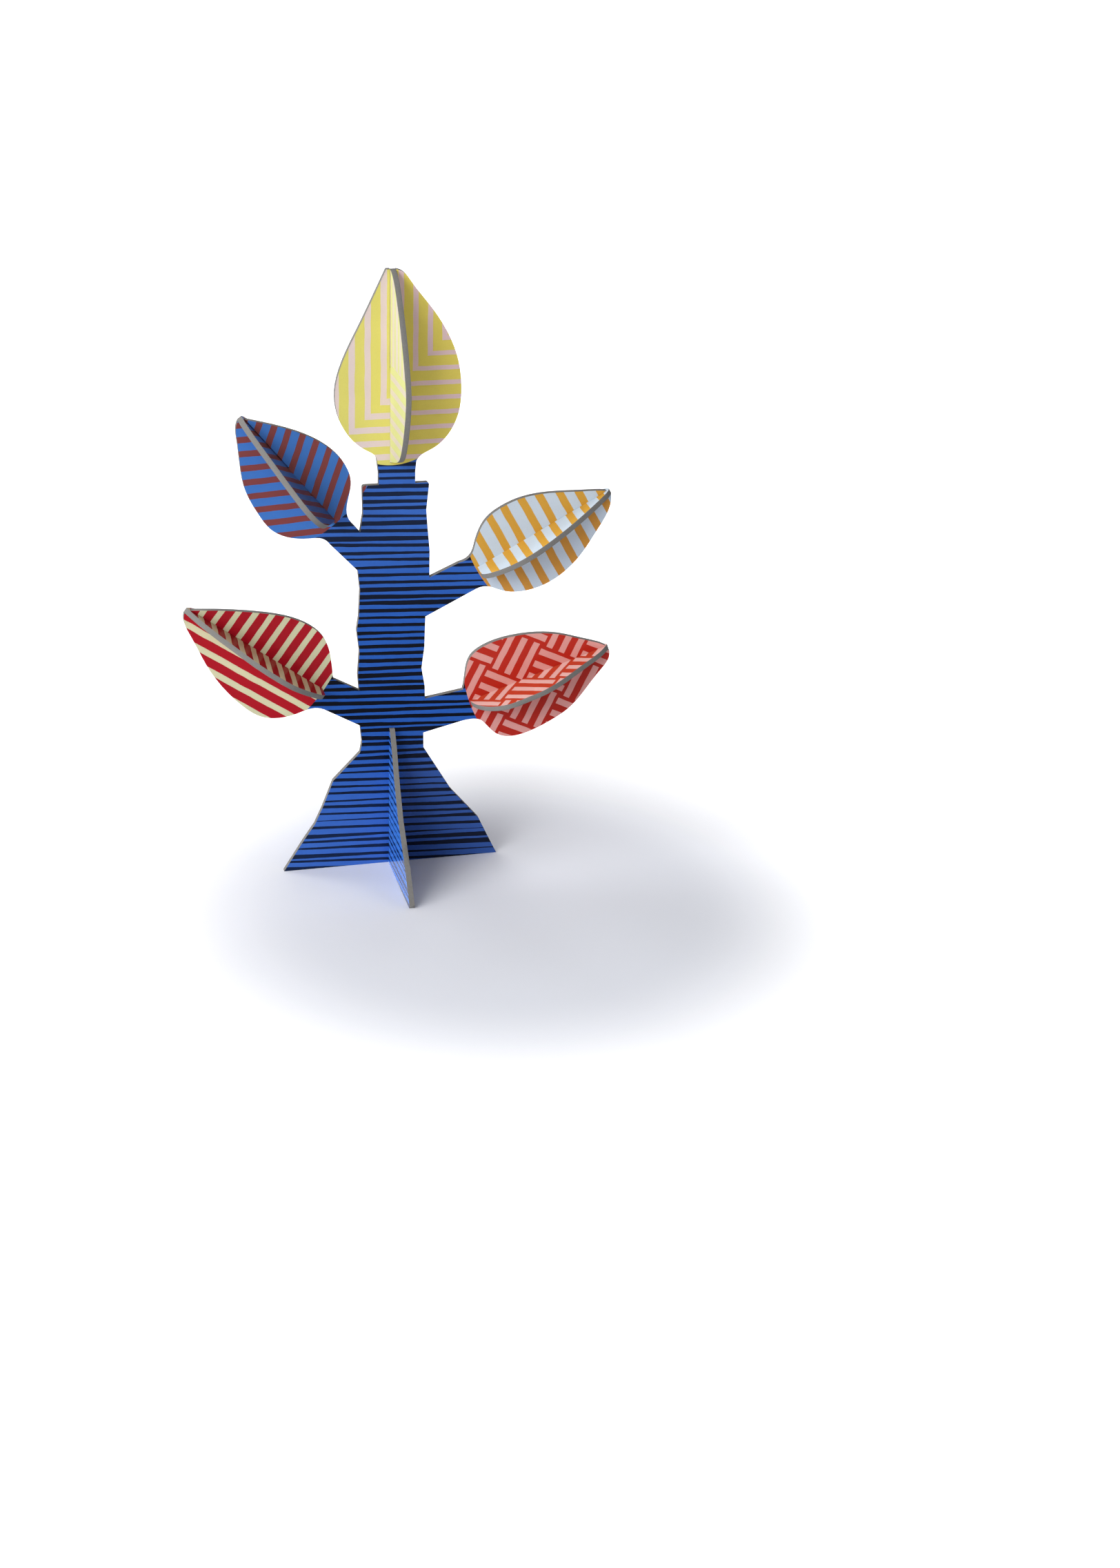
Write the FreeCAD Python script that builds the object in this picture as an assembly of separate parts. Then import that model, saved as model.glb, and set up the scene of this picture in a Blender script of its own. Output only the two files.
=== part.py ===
import FreeCAD, Part
import math
import os

os.makedirs("parts", exist_ok=True)

# A tree sculpture of flat boards that slot together, in millimetres. The large panel stands in the
# XZ plane, +X runs along it, the front faces -Y and +Z is up. The origin is on the ground, where
# the panel and the foot cross each other.

Vec = FreeCAD.Vector

# ---- board and fits
board = 1.6               # greyboard with a printed paper on each face
slot_clearance = 0.05     # air on each side of a board in its slot
slot_end_gap = 0.2        # air between the ends of two slots that meet
corner_radius = 0.7       # rounding of the shoulders and toes
cut_past = 2.0            # how far a cutting block runs past the faces it cuts

# ---- trunk, stem and foot of the panel
trunk_half_width = 10.0
trunk_top = 120.4
stem_left = 4.0           # the stem stands a little right of the trunk's middle
stem_right = 6.6
foot_half_width = 32.7
foot_height = 37.2        # where the foot runs into the trunk
overlap_in_trunk = 2.0    # how far the stem's outline runs down inside the trunk
branch_root_inset = 0.5   # how far a branch's root stands inside the trunk's nominal side

# ---- cross foot, which stands across the panel
cross_foot_half_depth = 32.5
cross_foot_height = 44.5
cross_foot_prong = 0.75   # board left on each side of the slot's mouth, at the top
foot_slot_top = 22.0      # where the panel's slot from below meets the cross foot's slot from above

# The foot's two edges, from toe to trunk, as shares of the spread beyond the trunk and of the height.
foot_edge_left = [(1.00, 0.00), (0.86, 0.14), (0.73, 0.27), (0.59, 0.40), (0.49, 0.54), (0.41, 0.67),
                  (0.35, 0.77), (0.00, 1.00)]
foot_edge_right = [(1.00, 0.00), (0.90, 0.13), (0.75, 0.33), (0.37, 0.61), (0.00, 1.00)]

# The cross foot's edge, from toe to top, as shares of its half depth and height.
cross_foot_edge = [(1.00, 0.00), (0.88, 0.12), (0.76, 0.23), (0.62, 0.34), (0.46, 0.46), (0.28, 0.68),
                   (0.14, 0.90)]

# How far each side of the trunk wanders in from its half width, against the share of its height.
trunk_edge_left = [(0.00, 0.5), (0.04, 1.1), (0.10, 0.6), (0.24, 0.3), (0.30, -0.1), (0.39, 0.4),
                   (0.47, -0.4), (0.52, 0.2), (0.62, 0.6), (0.69, 0.0), (0.83, 0.6), (0.90, 1.5),
                   (1.00, 1.3)]
trunk_edge_right = [(0.00, 0.3), (0.06, 0.4), (0.19, 0.0), (0.24, 0.1), (0.31, 1.1), (0.39, 0.3),
                    (0.50, 0.1), (0.65, -1.0), (0.75, -1.0), (0.84, -0.3), (0.90, 0.1), (1.00, -0.7)]

# ---- leaves
# A leaf's neck stands `out` from the trunk's side and `up` from its datum height: the lower pair is
# set out from the top of the foot, the others from the top of the trunk. The branch's root runs
# from root_low to root_high above the same datum.
# A leaf is laid out along its midrib, from the neck to the tip. Its two edges, left and right of
# someone looking towards the tip, are points at (share of the length, share of that side's half
# width), and a tip is blunt where the two end apart. The cross leaf stands on the midrib, across
# the panel. Its edge is given the same way, front and back alike, and it leans by a few degrees
# where it sits loosely.
leaves = {
    "lower_left": dict(
        side=-1, datum=foot_height, out=10.3, up=20.4, root_low=8.8, root_high=20.0,
        angle=144.3, length=48.8, left_half=16.3, right_half=14.9, cross_half=14.8, lean=0.0,
        left_edge=[(-0.07, 0.27), (0.00, 0.37), (0.06, 0.60), (0.24, 0.98), (0.36, 0.98), (0.72, 0.63),
                   (0.87, 0.37), (0.98, 0.14), (1.00, 0.00)],
        right_edge=[(0.00, 0.33), (0.05, 0.52), (0.21, 0.95), (0.31, 1.00), (0.63, 0.69), (0.83, 0.34),
                    (1.00, 0.00)],
        cross_edge=[(0.02, 0.38), (0.05, 0.51), (0.10, 0.64), (0.30, 0.99), (0.42, 1.00), (0.53, 0.94),
                    (0.66, 0.76), (0.92, 0.28), (1.00, 0.00)]),
    "upper_left": dict(
        side=-1, datum=trunk_top, out=7.3, up=-9.9, root_low=-26.2, root_high=-13.8,
        angle=129.4, length=41.0, left_half=14.7, right_half=13.5, cross_half=17.3, lean=-7.0,
        left_edge=[(-0.12, 0.35), (-0.05, 0.39), (0.02, 0.60), (0.25, 1.00), (0.38, 0.98), (0.57, 0.86),
                   (0.88, 0.34), (0.98, 0.12), (1.00, 0.00)],
        right_edge=[(-0.13, 0.26), (-0.01, 0.36), (0.13, 0.83), (0.32, 1.00), (0.42, 0.97), (0.76, 0.51),
                    (1.00, 0.00)],
        cross_edge=[(0.00, 0.12), (0.12, 0.76), (0.20, 0.95), (0.29, 1.00), (0.45, 0.88), (0.65, 0.62),
                    (0.93, 0.19), (0.98, 0.07), (1.00, 0.00)]),
    "upper_right": dict(
        side=1, datum=trunk_top, out=15.4, up=-27.7, root_low=-41.4, root_high=-29.8,
        angle=28.8, length=44.9, left_half=13.3, right_half=15.0, cross_half=12.3, lean=0.0,
        left_edge=[(-0.08, 0.37), (0.03, 0.43), (0.07, 0.57), (0.22, 0.94), (0.33, 0.99), (0.44, 0.96),
                   (0.88, 0.27), (0.98, 0.06), (1.00, 0.00)],
        right_edge=[(-0.07, 0.33), (0.02, 0.46), (0.06, 0.61), (0.22, 0.92), (0.36, 1.00), (0.65, 0.81),
                    (0.79, 0.58), (0.98, 0.14), (1.00, 0.00)],
        cross_edge=[(0.00, 0.42), (0.02, 0.60), (0.07, 0.75), (0.33, 1.00), (0.45, 0.94), (0.93, 0.24),
                    (0.99, 0.07), (1.00, 0.00)]),
    "lower_right": dict(
        side=1, datum=foot_height, out=13.5, up=13.3, root_low=4.9, root_high=15.8,
        angle=19.2, length=44.9, left_half=15.8, right_half=16.1, cross_half=13.1, lean=0.0,
        left_edge=[(-0.01, 0.31), (0.02, 0.46), (0.12, 0.90), (0.20, 0.98), (0.41, 0.96), (0.73, 0.61),
                   (0.87, 0.32), (0.98, 0.07), (1.00, 0.00)],
        right_edge=[(-0.12, 0.27), (-0.03, 0.31), (0.03, 0.40), (0.06, 0.56), (0.10, 0.79), (0.48, 0.96),
                    (0.62, 0.86), (0.89, 0.39), (0.98, 0.20), (1.00, 0.00)],
        cross_edge=[(0.01, 0.08), (0.09, 0.67), (0.23, 0.98), (0.34, 1.00), (0.45, 0.99), (0.81, 0.47),
                    (0.93, 0.24), (1.00, 0.00)]),
    "top": dict(
        side=0, datum=trunk_top, out=0.0, up=6.6,
        angle=90.0, length=55.6, left_half=16.5, right_half=19.7, cross_half=20.0, lean=1.6,
        left_edge=[(0.01, 0.27), (0.04, 0.31), (0.07, 0.46), (0.36, 1.00), (0.51, 0.90), (0.72, 0.57),
                   (0.88, 0.31), (1.00, 0.12)],
        right_edge=[(0.00, 0.35), (0.03, 0.42), (0.06, 0.58), (0.24, 0.96), (0.38, 1.00), (0.52, 0.95),
                    (0.82, 0.51), (0.93, 0.27), (0.98, 0.16), (1.00, 0.00)],
        cross_edge=[(0.00, 0.05), (0.04, 0.40), (0.08, 0.62), (0.16, 0.78), (0.36, 0.98), (0.45, 1.00),
                    (0.54, 0.93), (0.89, 0.40), (0.97, 0.19), (1.00, 0.00)]),
}

# The share of a leaf's length at which the blade's slot and the cross leaf's slot meet.
leaf_slot_share = 0.5


def slot_width(lean=0.0):
    """Width of the slot that a board passes through, leaning by that angle in degrees."""
    turn = math.radians(abs(lean))
    return board / math.cos(turn) + board * math.tan(turn) + 2 * slot_clearance


def line(start, end):
    return Part.LineSegment(start, end).toShape()


def loop(points):
    """Straight edges through the points and back to the first."""
    return [line(start, end) for start, end in zip(points, points[1:] + points[:1])]


def curve(points):
    """One smooth edge through the points."""
    spline = Part.BSplineCurve()
    spline.interpolate(points)
    return spline.toShape()


def plate(edges, thickness):
    """A board cut to a closed outline, extruded by the vector thickness."""
    outline = Part.Wire(Part.__sortEdges__(edges))
    return Part.Face(outline).extrude(thickness)


def cutting_block(corner, first, second, third):
    """A block that starts at corner, spanned by three vectors."""
    return plate(loop([corner, corner + first, corner + first + second, corner + second]), third)


def rounded_corners(body, is_corner):
    """The board with its corners rounded at the edges that is_corner picks by their boxes."""
    return body.makeFillet(corner_radius, [edge for edge in body.Edges if is_corner(edge.BoundBox)])


def panel_plate(edges):
    """A board whose outline is on the panel's front face."""
    return plate(edges, Vec(0, board, 0))


def panel_point(x, z):
    return Vec(x, -board / 2, z)


def midrib(leaf):
    """The leaf's base on the panel's middle plane, its direction, and the direction to its left."""
    turn = math.radians(leaf["angle"])
    base = Vec(leaf["side"] * (trunk_half_width + leaf["out"]), 0, leaf["datum"] + leaf["up"])
    return base, Vec(math.cos(turn), 0, math.sin(turn)), Vec(-math.sin(turn), 0, math.cos(turn))


def blade_edges(leaf):
    """Points of the blade's left and right edges on the panel's front face."""
    base, ahead, left = midrib(leaf)
    start = base + Vec(0, -board / 2, 0)
    return [[start + ahead * (along * leaf["length"]) + left * (share * half)
             for along, share in edge]
            for edge, half in ((leaf["left_edge"], leaf["left_half"]),
                               (leaf["right_edge"], -leaf["right_half"]))]


def blade(leaf):
    """The leaf's flat blade, closed across its neck, and across its tip where that is blunt."""
    left, right = blade_edges(leaf)
    edges = [curve(left), curve(right), line(right[0], left[0])]
    if leaf["left_edge"][-1] != leaf["right_edge"][-1]:
        edges.append(line(left[-1], right[-1]))
    return panel_plate(edges)


def branch(leaf):
    """The branch from the trunk's middle out to the two ends of the leaf's neck."""
    left, right = blade_edges(leaf)
    low, high = sorted([left[0], right[0]], key=lambda point: point.z)
    root = leaf["side"] * (trunk_half_width - branch_root_inset)
    bottom = leaf["datum"] + leaf["root_low"]
    top = leaf["datum"] + leaf["root_high"]
    return panel_plate(loop([panel_point(0, bottom), panel_point(root, bottom), low,
                             high, panel_point(root, top), panel_point(0, top)]))


def stem(leaf):
    """The short stem from the trunk's top to the top leaf's neck."""
    left, right = blade_edges(leaf)
    inside = trunk_top - overlap_in_trunk
    waist = (trunk_top + left[0].z) / 2
    return panel_plate(loop([panel_point(-stem_left, inside), panel_point(stem_right, inside),
                             panel_point(stem_right, waist), right[0], left[0],
                             panel_point(-stem_left, waist)]))


def trunk_and_foot():
    """The trunk with its slightly wandering sides, standing on the spread foot."""
    spread = foot_half_width - trunk_half_width
    rise = trunk_top - foot_height

    def side(sign, foot_edge, trunk_edge):
        first_inset = trunk_edge[0][1]
        foot = [(trunk_half_width + out * spread - (1 - out) * first_inset, up * foot_height)
                for out, up in foot_edge]
        trunk = [(trunk_half_width - inset, foot_height + up * rise) for up, inset in trunk_edge[1:]]
        return [panel_point(sign * half, height) for half, height in foot + trunk]

    left = side(-1, foot_edge_left, trunk_edge_left)
    right = side(1, foot_edge_right, trunk_edge_right)
    body = panel_plate(loop(right + left[::-1]))
    return rounded_corners(body, lambda box: box.YLength > board / 2 and box.Center.z > trunk_top - board)


def leaf_slot(leaf):
    """The block that cuts the blade from its tip back to where the cross leaf's own slot ends."""
    base, ahead, left = midrib(leaf)
    width = slot_width(leaf["lean"])
    start = leaf_slot_share * leaf["length"] - slot_end_gap / 2
    corner = base + ahead * start - left * (width / 2) - Vec(0, board / 2 + cut_past, 0)
    return cutting_block(corner, ahead * (leaf["length"] + cut_past - start), left * width,
                         Vec(0, board + 2 * cut_past, 0))


def foot_slot():
    """The block that cuts the panel from the ground up, where it drops over the cross foot."""
    width = slot_width()
    height = foot_slot_top + slot_end_gap / 2 + cut_past
    return cutting_block(Vec(-width / 2, -board / 2 - cut_past, -cut_past), Vec(width, 0, 0),
                         Vec(0, 0, height), Vec(0, board + 2 * cut_past, 0))


def tree_panel():
    body = trunk_and_foot()
    for name, leaf in leaves.items():
        carrier = stem(leaf) if name == "top" else branch(leaf)
        body = body.fuse([carrier, blade(leaf)])
    body = body.removeSplitter()
    for leaf in leaves.values():
        body = body.cut(leaf_slot(leaf))
    return body.cut(foot_slot())


def cross_foot():
    """The board across the panel, with its slot from the top down and rounded toes."""
    width = slot_width()
    edge = [(out * cross_foot_half_depth, up * cross_foot_height) for out, up in cross_foot_edge]
    edge.append((width / 2 + cross_foot_prong, cross_foot_height))
    front = [Vec(-board / 2, -out, up) for out, up in edge]
    rear = [Vec(-board / 2, out, up) for out, up in edge]
    body = plate(loop(front + rear[::-1]), Vec(board, 0, 0))
    body = rounded_corners(body, lambda box: box.XLength > board / 2 and box.Center.z < board / 2
                           and box.YLength < board / 2)
    bottom = foot_slot_top - slot_end_gap / 2
    slot = cutting_block(Vec(-board / 2 - cut_past, -width / 2, bottom), Vec(0, width, 0),
                         Vec(0, 0, cross_foot_height + cut_past - bottom), Vec(board + 2 * cut_past, 0, 0))
    return body.cut(slot)


def cross_leaf(leaf):
    """The leaf-shaped board on the midrib, slotted from its base, leaning about the midrib."""
    base, ahead, left = midrib(leaf)
    corner = base - left * (board / 2)
    width = slot_width(leaf["lean"])
    front, rear = [[corner + ahead * (along * leaf["length"]) + Vec(0, half * share, 0)
                    for along, share in leaf["cross_edge"]]
                   for half in (-leaf["cross_half"], leaf["cross_half"])]
    body = plate([curve(front), curve(rear), line(rear[0], front[0])], left * board)
    slot_corner = corner - left * cut_past - ahead * cut_past - Vec(0, width / 2, 0)
    depth = leaf_slot_share * leaf["length"] + slot_end_gap / 2
    body = body.cut(cutting_block(slot_corner, ahead * (depth + cut_past), Vec(0, width, 0),
                                  left * (board + 2 * cut_past)))
    body.rotate(base, ahead, leaf["lean"])
    return body


def write(name, shape):
    shape.exportStep("parts/" + name + ".step")
    box = shape.BoundBox
    print(name, "solids", len(shape.Solids), "valid", shape.isValid(), "volume", round(shape.Volume, 1),
          "box", [round(value, 2) for value in (box.XMin, box.XMax, box.YMin, box.YMax, box.ZMin, box.ZMax)])


write("tree_panel", tree_panel())
write("cross_foot", cross_foot())
for name, leaf in leaves.items():
    write(name + "_cross_leaf", cross_leaf(leaf))
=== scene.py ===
import bpy
from math import cos, radians, sin
from mathutils import Matrix, Vector


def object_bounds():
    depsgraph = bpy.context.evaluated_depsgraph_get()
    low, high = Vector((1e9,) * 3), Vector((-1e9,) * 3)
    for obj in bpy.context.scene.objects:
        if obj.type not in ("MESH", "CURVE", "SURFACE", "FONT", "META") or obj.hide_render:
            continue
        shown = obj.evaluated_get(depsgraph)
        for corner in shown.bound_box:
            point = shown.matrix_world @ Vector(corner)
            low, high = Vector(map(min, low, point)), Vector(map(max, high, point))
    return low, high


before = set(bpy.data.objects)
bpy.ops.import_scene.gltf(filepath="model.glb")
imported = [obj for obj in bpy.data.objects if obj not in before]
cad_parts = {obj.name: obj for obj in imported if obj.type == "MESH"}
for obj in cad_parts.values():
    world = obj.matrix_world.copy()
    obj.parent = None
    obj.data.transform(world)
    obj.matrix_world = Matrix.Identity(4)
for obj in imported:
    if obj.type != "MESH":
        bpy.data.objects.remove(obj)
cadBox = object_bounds()
world = bpy.context.scene.world or bpy.data.worlds.new("world")
bpy.context.scene.world = world
mmPerMetre = 1000.0


def addCamera():
    shot = {
        "aim": (0.0525, 0.0, 0.0209),   # the point in the middle of the picture
        "distance": 0.840,
        "azimuth": -15.4,               # seen a little from the left
        "elevation": 25.3,
        "roll": 1.86,
        "lens": 63.3,
        "nearest": 0.01,
    }
    side, rise, roll = (radians(shot[key]) for key in ("azimuth", "elevation", "roll"))
    back = Vector((sin(side) * cos(rise), -cos(side) * cos(rise), sin(rise)))
    right = Vector((0, 0, 1)).cross(back).normalized()
    turn = Matrix((right, back.cross(right), back)).transposed()
    camera = bpy.data.objects.new("camera", bpy.data.cameras.new("camera"))
    camera.matrix_world = (Matrix.Translation(Vector(shot["aim"]) + back * shot["distance"])
                           @ (turn @ Matrix.Rotation(roll, 3, "Z")).to_4x4())
    camera.data.lens = shot["lens"]
    camera.data.clip_start = shot["nearest"]
    bpy.context.scene.collection.objects.link(camera)
    bpy.context.scene.camera = camera
    print("camera set")


# small helpers for building node trees; patterns are measured in millimetres
def addNode(tree, kind, inputs=(), **settings):
    made = tree.nodes.new(kind)
    for key, value in settings.items():
        setattr(made, key, value)
    for socket, value in dict(inputs).items():
        if isinstance(value, bpy.types.NodeSocket):
            tree.links.new(value, made.inputs[socket])
        else:
            made.inputs[socket].default_value = value
    return made


def calc(tree, operation, *values):
    return addNode(tree, "ShaderNodeMath", enumerate(values), operation=operation).outputs[0]


def vectorCalc(tree, operation, first, second):
    return addNode(tree, "ShaderNodeVectorMath", {0: first, 1: second}, operation=operation).outputs[0]


def scaled(tree, vector, factor):
    return addNode(tree, "ShaderNodeVectorMath", {0: vector, 3: factor}, operation="SCALE").outputs[0]


def dot(tree, vector, direction):
    return addNode(tree, "ShaderNodeVectorMath", {0: vector, 1: direction},
                   operation="DOT_PRODUCT").outputs["Value"]


def mixColours(tree, factor, first, second):
    return addNode(tree, "ShaderNodeMix", {0: factor, 6: first, 7: second},
                   data_type="RGBA").outputs[2]


def mixValues(tree, factor, first, second):
    return addNode(tree, "ShaderNodeMix", {0: factor, 2: first, 3: second}).outputs[0]


def noise(tree, vector, scale, detail=2.0, roughness=0.5):
    # Blender's noise keeps mostly to the middle half of 0..1; this spreads it to about -1..1
    made = addNode(tree, "ShaderNodeTexNoise", {"Vector": vector, "Scale": scale, "Detail": detail,
                                                "Roughness": roughness})
    return calc(tree, "MULTIPLY_ADD", made.outputs[0], 4.0, -2.0)


def ramp(tree, value, low, high, lowResult=0.0, highResult=1.0):
    return addNode(tree, "ShaderNodeMapRange", {"Value": value, "From Min": low, "From Max": high,
                                                "To Min": lowResult, "To Max": highResult}).outputs[0]


def smoothRamp(tree, value, low, high):
    return addNode(tree, "ShaderNodeMapRange", {"Value": value, "From Min": low, "From Max": high},
                   interpolation_type="SMOOTHSTEP").outputs[0]


def colour(red, green, blue):
    # from 0..255 screen values to the linear values that a shader takes
    return tuple((c / 255 / 12.92 if c < 10.3 else ((c / 255 + 0.055) / 1.055) ** 2.4)
                 for c in (red, green, blue)) + (1.0,)


def millimetres(tree):
    return scaled(tree, addNode(tree, "ShaderNodeTexCoord").outputs["Object"], mmPerMetre)


# stripes and blocks of print: each pattern gives 1 on the stripes and 0 on the ground between them
def bands(tree, across, pitch, share, centre=0.0):
    start = calc(tree, "SUBTRACT", across, centre - share * pitch / 2)
    return calc(tree, "LESS_THAN", calc(tree, "FRACT", calc(tree, "DIVIDE", start, pitch)), share)


def slantedBands(tree, along, aside, look):
    # stripes turned by an angle from square to the midrib; "also" sets a second set between them
    turn = radians(look["angle"])
    across = calc(tree, "MULTIPLY_ADD", along, cos(turn), calc(tree, "MULTIPLY", aside, sin(turn)))
    found = bands(tree, across, look["pitch"], look["share"], look["centre"])
    if "also" in look:
        between = bands(tree, across, look["pitch"], look["share"], look["also"])
        found = calc(tree, "MAXIMUM", found, between)
    return found


def cornerBands(tree, along, aside, look):
    # nested stripes that run down beside the midrib, turn a right angle and run on sideways
    down = calc(tree, "DIVIDE", calc(tree, "SUBTRACT", aside, look["corner"][0]), look["pitch"][0])
    sideways = calc(tree, "DIVIDE", calc(tree, "SUBTRACT", look["corner"][1], along), look["pitch"][1])
    turned = calc(tree, "LESS_THAN", down, sideways)
    return mixValues(tree, turned, bands(tree, down, 1.0, look["share"][0]),
                     bands(tree, sideways, 1.0, look["share"][1]))


def turningBands(tree, along, out, look):
    # stripes across the board up to the turn, and lengthways beyond it
    beyond = calc(tree, "LESS_THAN", look["turn"], along)
    across = bands(tree, along, *look["across"])
    lengthways = bands(tree, out, *look["lengthways"])
    return mixValues(tree, beyond, across, lengthways)


def basketWeave(tree, along, aside, look):
    # square blocks of stripes in a slanted grid, each turned a right angle from its neighbours
    turn = radians(look["angle"])
    ahead = calc(tree, "MULTIPLY_ADD", along, cos(turn), calc(tree, "MULTIPLY", aside, sin(turn)))
    sideways = calc(tree, "MULTIPLY_ADD", aside, cos(turn), calc(tree, "MULTIPLY", along, -sin(turn)))
    block = look["pitch"] * look["stripes"]
    column = calc(tree, "FLOOR", calc(tree, "DIVIDE", ahead, block))
    row = calc(tree, "FLOOR", calc(tree, "DIVIDE", sideways, block))
    halves = calc(tree, "FRACT", calc(tree, "DIVIDE", calc(tree, "ADD", column, row), 2.0))
    even = calc(tree, "LESS_THAN", halves, 0.25)      # halves is 0 on even blocks and 0.5 on odd ones
    stripes = [bands(tree, across, look["pitch"], look["share"], look["pitch"] / 2)
               for across in (ahead, sideways)]
    return mixValues(tree, even, *stripes)


def leafAxes(name):
    # a leaf's own axes, taken from the board that stands on its midrib
    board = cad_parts[name + "_cross_leaf"].data
    facing = max(board.polygons, key=lambda face: face.area).normal
    ahead = facing.cross(Vector((0, 1, 0))).normalized()
    if ahead.z < 0:
        ahead = -ahead
    left = Vector((-ahead.z, 0, ahead.x))
    reach = [corner.co.dot(ahead) * mmPerMetre for corner in board.vertices]
    spread = [corner.co.dot(left) * mmPerMetre for corner in board.vertices]
    base = ahead * min(reach) + left * (min(spread) + max(spread)) / 2
    return {"base": base, "ahead": ahead, "left": left, "facing": facing}


# pitch, centre, corner and turn are in mm, and share is the stripe's part of its pitch; edge bounds
# the leaf's part of the panel, from a bulging start near the neck to left, right and tip
redWeave = {"angle": 45, "pitch": 4.1, "share": 0.48, "stripes": 3}
leafPrints = {
    "top": {
        "ground": colour(216, 208, 112), "stripe": colour(218, 201, 200), "pattern": cornerBands,
        "edge": {"start": -0.9, "bulge": 0.03, "left": 17.2, "right": 20.6, "tip": 58},
        "leftHalf": {"corner": (2.6, 17.8), "pitch": (4.55, 4.05), "share": (0.39, 0.45)},
        "rightHalf": {"corner": (-14.75, 35.6), "pitch": (4.15, 4.28), "share": (0.36, 0.31)},
        # painted light: the right half's inks are a warmer, brighter copy standing for light bounced off the
        # standing leaf
        "rightInksWithPaintedShading": (colour(235, 216, 103), colour(234, 204, 205)),
        "crossPattern": turningBands,
        "crossBoard": {"turn": 29.0,
                       "across": (4.26, 0.42, 34.0), "lengthways": (4.3, 0.6, 4.6)},   # pitch, share, centre
        "crossInks": (colour(206, 208, 140), colour(207, 197, 180)),
    },
    "upper_left": {
        "ground": colour(65, 117, 192), "stripe": colour(129, 65, 64), "pattern": slantedBands,
        "edge": {"start": -1.2, "bulge": 0.012, "left": 16, "right": 14.2, "tip": 44},
        "leftHalf": {"angle": -36.1, "pitch": 4.2, "share": 0.43, "centre": 1.6},
        "rightHalf": {"angle": 31.8, "pitch": 4.28, "share": 0.435, "centre": 3.35},
        "crossBoard": {"angle": -35, "pitch": 3.93, "share": 0.46, "centre": 0.05},
        "crossInks": (colour(74, 108, 182), colour(118, 70, 74)),
    },
    "lower_left": {
        "ground": colour(172, 22, 37), "stripe": colour(212, 211, 175), "pattern": slantedBands,
        "edge": {"start": -0.6, "bulge": 0.012, "left": 18, "right": 16, "tip": 52},
        "leftHalf": {"angle": 91.3, "pitch": 4.4, "share": 0.41, "centre": 6.7},
        "rightHalf": {"angle": 0, "pitch": 4.38, "share": 0.40, "centre": 3.9},
        "crossBoard": {"angle": -4.3, "pitch": 4.53, "share": 0.45, "centre": 2.15},
        "crossInks": (colour(176, 38, 41), colour(228, 207, 167)),
    },
    "upper_right": {
        "ground": colour(202, 215, 228), "stripe": colour(213, 160, 63), "pattern": slantedBands,
        "edge": {"start": -0.3, "bulge": 0.012, "left": 15, "right": 17, "tip": 48},
        "leftHalf": {"angle": 0, "pitch": 10.6, "share": 0.217, "centre": 4.9, "also": 10.5},
        "rightHalf": {"angle": 0, "pitch": 10.6, "share": 0.225, "centre": 4.9, "also": 10.3},
        # painted shade: the right half's inks are a darker copy
        "rightInksWithPaintedShading": (colour(202, 215, 230), colour(207, 146, 64)),
        "crossBoard": {"angle": 0, "pitch": 10.6, "share": 0.217, "centre": 4.1, "also": 9.8},
    },
    "lower_right": {
        "ground": colour(189, 45, 32), "stripe": colour(226, 159, 152), "pattern": basketWeave,
        "edge": {"start": -0.3, "bulge": 0.012, "left": 17.5, "right": 17.5, "tip": 48},
        "leftHalf": redWeave, "rightHalf": redWeave, "crossBoard": redWeave,
        # painted shade: the right half's inks are a darker copy
        "rightInksWithPaintedShading": (colour(179, 41, 32), colour(221, 157, 152)),
        "crossInks": (colour(188, 64, 41), colour(222, 174, 167)),
    },
}
axes = {name: leafAxes(name) for name in leafPrints}


def leafPlace(tree, place, name):
    # distance along the midrib, to the left of it, and out from the panel
    fromBase = vectorCalc(tree, "SUBTRACT", place, axes[name]["base"])
    return (dot(tree, fromBase, axes[name]["ahead"]), dot(tree, fromBase, axes[name]["left"]),
            calc(tree, "ABSOLUTE", dot(tree, fromBase, (0, 1, 0))))


def leafInk(tree, place, name, onPanel):
    look = leafPrints[name]
    drawn = {"sway": 0.10, "swayScale": 0.16, "noiseSwing": 0.2}    # hand-drawn stripes wander, in mm
    wander = addNode(tree, "ShaderNodeTexNoise", {"Vector": place, "Scale": drawn["swayScale"],
                                                  "Detail": 2.0})
    sway = vectorCalc(tree, "SUBTRACT", wander.outputs["Color"], (0.5, 0.5, 0.5))
    swayed = vectorCalc(tree, "ADD", place, scaled(tree, sway, drawn["sway"] / drawn["noiseSwing"]))
    along, aside, out = leafPlace(tree, swayed, name)
    inks = (look["ground"], look["stripe"])
    if not onPanel:
        found = look.get("crossPattern", look["pattern"])(tree, along, out, look["crossBoard"])
        return mixColours(tree, found, *look.get("crossInks", inks))
    left = mixColours(tree, look["pattern"](tree, along, aside, look["leftHalf"]), *inks)
    # the right half takes its own inks where a leaf has them; these carry painted light or painted shade
    right = mixColours(tree, look["pattern"](tree, along, aside, look["rightHalf"]),
                       *look.get("rightInksWithPaintedShading", inks))
    return mixColours(tree, calc(tree, "LESS_THAN", 0.0, aside), right, left)


def leafArea(tree, place, name):
    # 1 on that leaf's part of the panel
    edge = leafPrints[name]["edge"]
    along, aside = leafPlace(tree, place, name)[:2]
    neck = calc(tree, "MULTIPLY_ADD", calc(tree, "MULTIPLY", aside, aside), edge["bulge"], edge["start"])
    limits = [calc(tree, "SUBTRACT", along, neck), calc(tree, "SUBTRACT", edge["tip"], along),
              calc(tree, "SUBTRACT", edge["left"], aside), calc(tree, "ADD", edge["right"], aside)]
    inside = limits[0]
    for limit in limits[1:]:
        inside = calc(tree, "MINIMUM", inside, limit)
    return calc(tree, "LESS_THAN", 0.0, inside)


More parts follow.
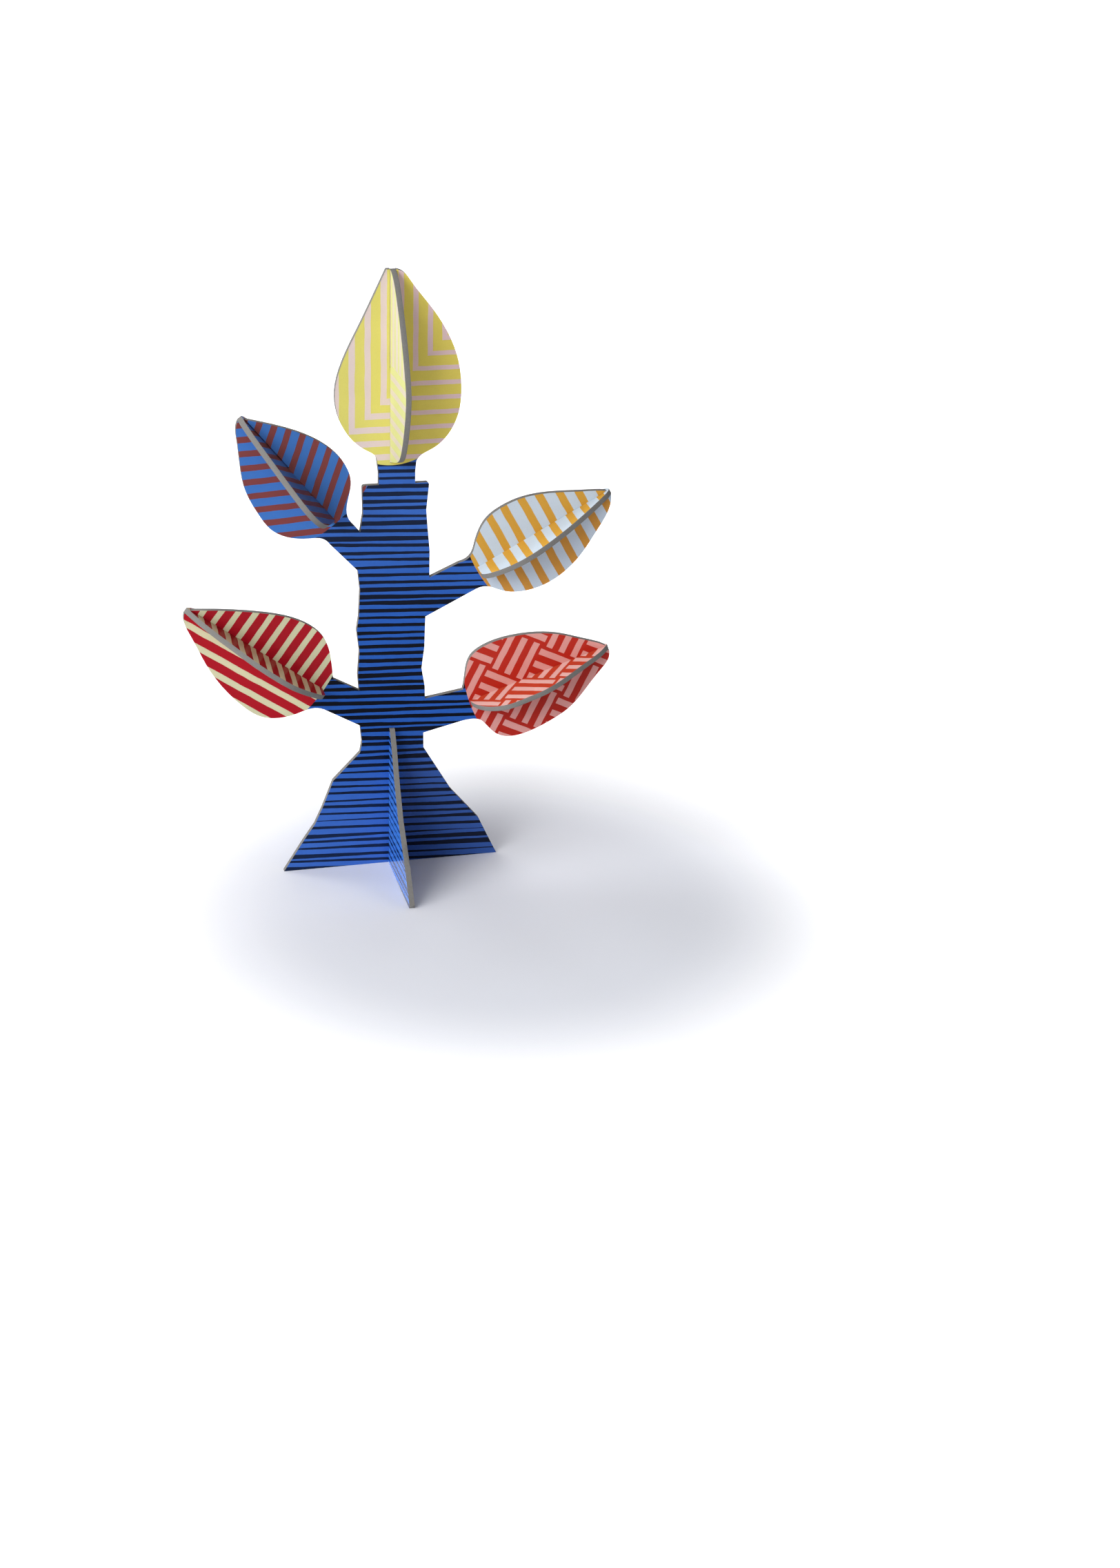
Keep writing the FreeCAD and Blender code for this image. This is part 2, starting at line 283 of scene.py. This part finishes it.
trunkPrint = {
    "ground": colour(40, 92, 182), "stripe": colour(6, 11, 26),              # around the waist
    "paintedLightGround": colour(62, 108, 194), "paintedLightStripe": colour(22, 37, 68),    # painted light and reflection: paler up the trunk and low on the left
    "paintedShadeGround": colour(56, 91, 166), "paintedShadeStripe": colour(20, 27, 48),     # painted shade with a reflected tint: greyer low on the right, beside the cross foot
    "pitch": 2.24, "slope": 0.045, "reach": 30.0,
    "thinBelow": 16, "thickAbove": 40, "thin": 0.37, "thick": 0.50, "thinnest": 0.1,
    "shift": 0.2, "tilt": 0.45, "taper": 0.65, "spread": 0.26,
    "waver": 0.04, "waverScale": (0.12, 0.12, 0.5),
    "paintedLightUp": (78, 110), "paintedLightUpMost": 0.75,             # painted light: paler up the trunk
    "paintedLightFoot": {"below": (12, 46), "leftOf": (-3, 4)},    # painted floor reflection and light: paler low on the left
    "paintedShadeFoot": {"below": (30, 46), "rightOf": (1, 5)},    # painted shade: greyer low on the right
}
# the cross foot's inks; its paler pair is painted light and reflection
footPrint = dict(trunkPrint, ground=colour(58, 118, 206), stripe=colour(9, 25, 64),
                 paintedLightGround=colour(64, 126, 217), paintedLightStripe=colour(22, 48, 106), thin=0.36, thick=0.46)


def trunkInk(tree, place, look=trunkPrint):
    # one hand-drawn stroke to each row, shifted, tilted and tapered by a fixed noise
    x, y, z = (dot(tree, place, axis) for axis in ((1, 0, 0), (0, 1, 0), (0, 0, 1)))
    across = calc(tree, "ADD", x, y)
    turns = calc(tree, "DIVIDE", calc(tree, "MULTIPLY_ADD", across, look["slope"], z), look["pitch"])
    stroke = addNode(tree, "ShaderNodeTexWhiteNoise", {"W": calc(tree, "FLOOR", turns)},
                     noise_dimensions="1D")
    chance = addNode(tree, "ShaderNodeSeparateColor", {0: stroke.outputs["Color"]})
    first, second, third = (calc(tree, "SUBTRACT", chance.outputs[part], 0.5) for part in range(3))
    fourth = calc(tree, "SUBTRACT", stroke.outputs["Value"], 0.5)
    along = calc(tree, "DIVIDE", across, look["reach"])

    waver = vectorCalc(tree, "MULTIPLY", place, look["waverScale"])
    middle = calc(tree, "MULTIPLY_ADD", noise(tree, waver, 1.0, 2.0), look["waver"], 0.5)
    middle = calc(tree, "MULTIPLY_ADD", first, look["shift"], middle)
    middle = calc(tree, "MULTIPLY_ADD", calc(tree, "MULTIPLY", second, along), look["tilt"], middle)
    share = ramp(tree, z, look["thinBelow"], look["thickAbove"], look["thin"], look["thick"])
    share = calc(tree, "MULTIPLY_ADD", third, look["spread"], share)
    share = calc(tree, "MULTIPLY_ADD", calc(tree, "MULTIPLY", fourth, along), look["taper"], share)
    fromMiddle = calc(tree, "ABSOLUTE", calc(tree, "SUBTRACT", calc(tree, "FRACT", turns), middle))
    halfWidth = calc(tree, "MULTIPLY", calc(tree, "MAXIMUM", share, look["thinnest"]), 0.5)
    drawn = calc(tree, "LESS_THAN", fromMiddle, halfWidth)

    # painted light and reflection make the print paler at the top of the trunk and low on the left of the
    # foot, and painted shade makes it greyer low on its right
    paintedLightTop = ramp(tree, z, *look["paintedLightUp"], 0.0, look["paintedLightUpMost"])
    paintedLightFoot = calc(tree, "MULTIPLY", ramp(tree, z, *look["paintedLightFoot"]["below"], 1.0, 0.0),
                    ramp(tree, x, *look["paintedLightFoot"]["leftOf"], 1.0, 0.0))
    pale = calc(tree, "MAXIMUM", paintedLightTop, paintedLightFoot)
    paintedShade = calc(tree, "MULTIPLY", ramp(tree, z, *look["paintedShadeFoot"]["below"], 1.0, 0.0),
                ramp(tree, x, *look["paintedShadeFoot"]["rightOf"]))
    ground = mixColours(tree, pale, look["ground"], look["paintedLightGround"])
    stripe = mixColours(tree, pale, look["stripe"], look["paintedLightStripe"])
    return mixColours(tree, drawn, mixColours(tree, paintedShade, ground, look["paintedShadeGround"]),
                      mixColours(tree, paintedShade, stripe, look["paintedShadeStripe"]))


def boardMaterial(name, facing, ink, shine=1.0):
    # printed paper on both faces of a grey core
    look = {
        "core": colour(137, 135, 132), "fibre": colour(121, 120, 118), "paper": colour(214, 212, 206),
        "printSquare": (0.80, 0.90), "rimSquare": (0.35, 0.6), "rimPaper": 0.35,
        "fineScale": 3.2, "fineInk": 0.018, "cloudScale": 0.11, "cloudInk": 0.025,
        "fibreScale": 1.4, "fibreLayers": 3.0, "fibreContrast": (-0.9, 0.9),
        "coreRoughness": 0.85, "inkRoughness": 0.4, "inkRoughnessSwing": 0.03,
        "varnishFlat": 0.12, "varnishGrazing": 1.0, "varnishTurns": (0.2, 0.8),
        "varnishRoughness": 0.14, "varnishIor": 1.5,
        "fibreRelief": 6.0, "warpScale": 0.05, "warpRelief": 6.0, "reliefStrength": 0.6, "relief": 0.000004,
    }
    material = bpy.data.materials.new(name)
    material.use_nodes = True
    tree = material.node_tree
    shader = tree.nodes["Principled BSDF"]
    place = millimetres(tree)

    # how squarely the surface faces the same way as the board: 1 on the faces, 0 on the cut edge
    normal = addNode(tree, "ShaderNodeNewGeometry").outputs["Normal"]
    square = calc(tree, "ABSOLUTE", dot(tree, normal, facing))
    printed = ramp(tree, square, *look["printSquare"])
    rim = calc(tree, "MULTIPLY", ramp(tree, square, *look["rimSquare"]),
               calc(tree, "SUBTRACT", 1.0, printed))

    # ink that lies a little unevenly on the paper
    fine = noise(tree, place, look["fineScale"], 3.0)
    cloudy = noise(tree, place, look["cloudScale"])
    density = calc(tree, "MULTIPLY_ADD", fine, look["fineInk"], 1.0)
    density = calc(tree, "MULTIPLY_ADD", cloudy, look["cloudInk"], density)
    inked = scaled(tree, ink(tree, place), density)

    # grey core, its fibres running in layers along the cut
    squeezed = tuple(1.0 + look["fibreLayers"] * abs(part) for part in facing)
    layers = vectorCalc(tree, "MULTIPLY", place, squeezed)
    fibres = noise(tree, layers, look["fibreScale"], 4.0, 0.65)
    core = mixColours(tree, ramp(tree, fibres, *look["fibreContrast"]), look["fibre"], look["core"])
    edge = mixColours(tree, calc(tree, "MULTIPLY", rim, look["rimPaper"]), core, look["paper"])
    tree.links.new(mixColours(tree, printed, edge, inked), shader.inputs["Base Color"])

    roughness = calc(tree, "MULTIPLY_ADD", fine, look["inkRoughnessSwing"], look["inkRoughness"])
    tree.links.new(mixValues(tree, printed, look["coreRoughness"], roughness), shader.inputs["Roughness"])
    shader.inputs["Specular IOR Level"].default_value = 0.0     # the gloss is all in the varnish
    glancing = addNode(tree, "ShaderNodeLayerWeight", {"Blend": 0.5}).outputs["Facing"]
    varnish = ramp(tree, glancing, *look["varnishTurns"],
                   look["varnishFlat"] * shine, look["varnishGrazing"] * shine)
    tree.links.new(calc(tree, "MULTIPLY", printed, varnish), shader.inputs["Coat Weight"])
    shader.inputs["Coat Roughness"].default_value = look["varnishRoughness"]
    shader.inputs["Coat IOR"].default_value = look["varnishIor"]

    grain = calc(tree, "MULTIPLY_ADD", noise(tree, place, look["warpScale"], 0.0), look["warpRelief"], fine)
    height = mixValues(tree, printed, calc(tree, "MULTIPLY", fibres, look["fibreRelief"]), grain)
    bump = addNode(tree, "ShaderNodeBump", {"Height": height, "Strength": look["reliefStrength"],
                                            "Distance": look["relief"]}).outputs[0]
    tree.links.new(bump, shader.inputs["Normal"])
    tree.links.new(bump, shader.inputs["Coat Normal"])
    return material


def finishBoard(node, material):
    rounding = {"width": 0.00008, "segments": 2, "sharperThan": 40, "weld": 1e-6}
    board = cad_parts[node]
    board.material_slots[0].material = material
    weld = board.modifiers.new("weld", "WELD")
    weld.merge_threshold = rounding["weld"]
    bevel = board.modifiers.new("softened edge", "BEVEL")
    bevel.width = rounding["width"]
    bevel.segments = rounding["segments"]
    bevel.limit_method = "ANGLE"
    bevel.angle_limit = radians(rounding["sharperThan"])
    print(node, "finished")


def panelInk(tree, place):
    ink = trunkInk(tree, place)
    for name in leafPrints:
        ink = mixColours(tree, leafArea(tree, place, name), ink, leafInk(tree, place, name, True))
    return ink


def finishBoards():
    crossLeafShine = 0.25       # the standing leaves are less glossy
    finishBoard("tree_panel", boardMaterial("panel print", (0, 1, 0), panelInk))
    finishBoard("cross_foot", boardMaterial("foot print", (1, 0, 0),
                                            lambda tree, place: trunkInk(tree, place, footPrint)))
    for name in leafPrints:
        finishBoard(name + "_cross_leaf",
                    boardMaterial(name.replace("_", " ") + " leaf print", axes[name]["facing"],
                                  lambda tree, place: leafInk(tree, place, name, False), crossLeafShine))


def directlySeen(tree):
    # 1 where the camera, a reflection or something clear looks at it, 0 where it only gives light
    path = addNode(tree, "ShaderNodeLightPath")
    seen = calc(tree, "MAXIMUM", path.outputs["Is Camera Ray"], path.outputs["Is Glossy Ray"])
    return calc(tree, "MAXIMUM", seen, path.outputs["Is Transmission Ray"])


def addFloor():
    look = {
        "radius": 6.0, "sides": 96, "near": colour(232, 235, 243), "far": colour(248, 248, 250),
        "roughness": 0.9, "shine": 0.1, "glow": 0.5, "glowColour": (1, 1, 1, 1),
        "middle": (0.025, -0.035, 0.0), "fade": (0.055, 0.13), "unlit": (0.8, 2.5),   # distances from middle
    }
    bpy.ops.mesh.primitive_circle_add(vertices=look["sides"], radius=look["radius"], fill_type="NGON")
    floor = bpy.context.object
    floor.name = "floor"
    floor.location.z = cadBox[0].z
    material = bpy.data.materials.new("pale floor")
    material.use_nodes = True
    tree = material.node_tree
    shader = tree.nodes["Principled BSDF"]
    place = addNode(tree, "ShaderNodeNewGeometry").outputs["Position"]
    away = addNode(tree, "ShaderNodeVectorMath", {0: place, 1: look["middle"]},
                   operation="DISTANCE").outputs["Value"]
    far = smoothRamp(tree, away, *look["fade"])
    tree.links.new(mixColours(tree, far, look["near"], look["far"]), shader.inputs["Base Color"])
    shader.inputs["Roughness"].default_value = look["roughness"]
    shader.inputs["Specular IOR Level"].default_value = look["shine"]
    # the floor fades to the white of the background; far out, where no lamp reaches, the glow doubles
    glow = calc(tree, "MULTIPLY_ADD", far, look["glow"],
                ramp(tree, away, *look["unlit"], 0.0, look["glow"]))
    shader.inputs["Emission Color"].default_value = look["glowColour"]
    tree.links.new(calc(tree, "MULTIPLY", directlySeen(tree), glow), shader.inputs["Emission Strength"])
    floor.data.materials.append(material)
    print("floor laid")


def lightWorld():
    look = {"colour": (1, 1, 1, 1), "light": 0.04, "background": 1.0}
    world.use_nodes = True
    tree = world.node_tree
    tree.nodes.clear()
    seen = directlySeen(tree)
    strength = ramp(tree, seen, 0.0, 1.0, look["light"], look["background"])
    background = addNode(tree, "ShaderNodeBackground", {"Color": look["colour"], "Strength": strength})
    output = addNode(tree, "ShaderNodeOutputWorld")
    tree.links.new(background.outputs[0], output.inputs[0])
    print("world lit")


# a wide window-like source on the left, with weak fills in front, on the right and behind
lampDistance = 3.0
lamps = {
    "key softbox": {"azimuth": -63, "elevation": 27, "size": (3.2, 1.6), "power": 112.0},
    "front softbox": {"azimuth": -10, "elevation": 38, "size": (1.6, 1.6), "power": 10.0},
    "right softbox": {"azimuth": 95, "elevation": 50, "size": (1.6, 1.6), "power": 11.0},
    "left rear softbox": {"azimuth": -140, "elevation": 45, "size": (1.6, 1.6), "power": 26.0},
    "right rear softbox": {"azimuth": 150, "elevation": 45, "size": (1.6, 1.6), "power": 11.0},
}


def addLamp(name, look):
    side, rise = radians(look["azimuth"]), radians(look["elevation"])
    towards = Vector((sin(side) * cos(rise), -cos(side) * cos(rise), sin(rise)))
    data = bpy.data.lights.new(name, "AREA")
    data.shape = "RECTANGLE"
    data.size, data.size_y = look["size"]
    data.energy = look["power"]
    lamp = bpy.data.objects.new(name, data)
    lamp.location = (cadBox[0] + cadBox[1]) / 2 + towards * lampDistance
    lamp.rotation_euler = towards.to_track_quat("Z", "Y").to_euler()
    bpy.context.scene.collection.objects.link(lamp)
    print(name, "lit")


addCamera()
finishBoards()
addFloor()
lightWorld()
for lampName in lamps:
    addLamp(lampName, lamps[lampName])
bpy.context.scene.view_settings.view_transform = "Standard"
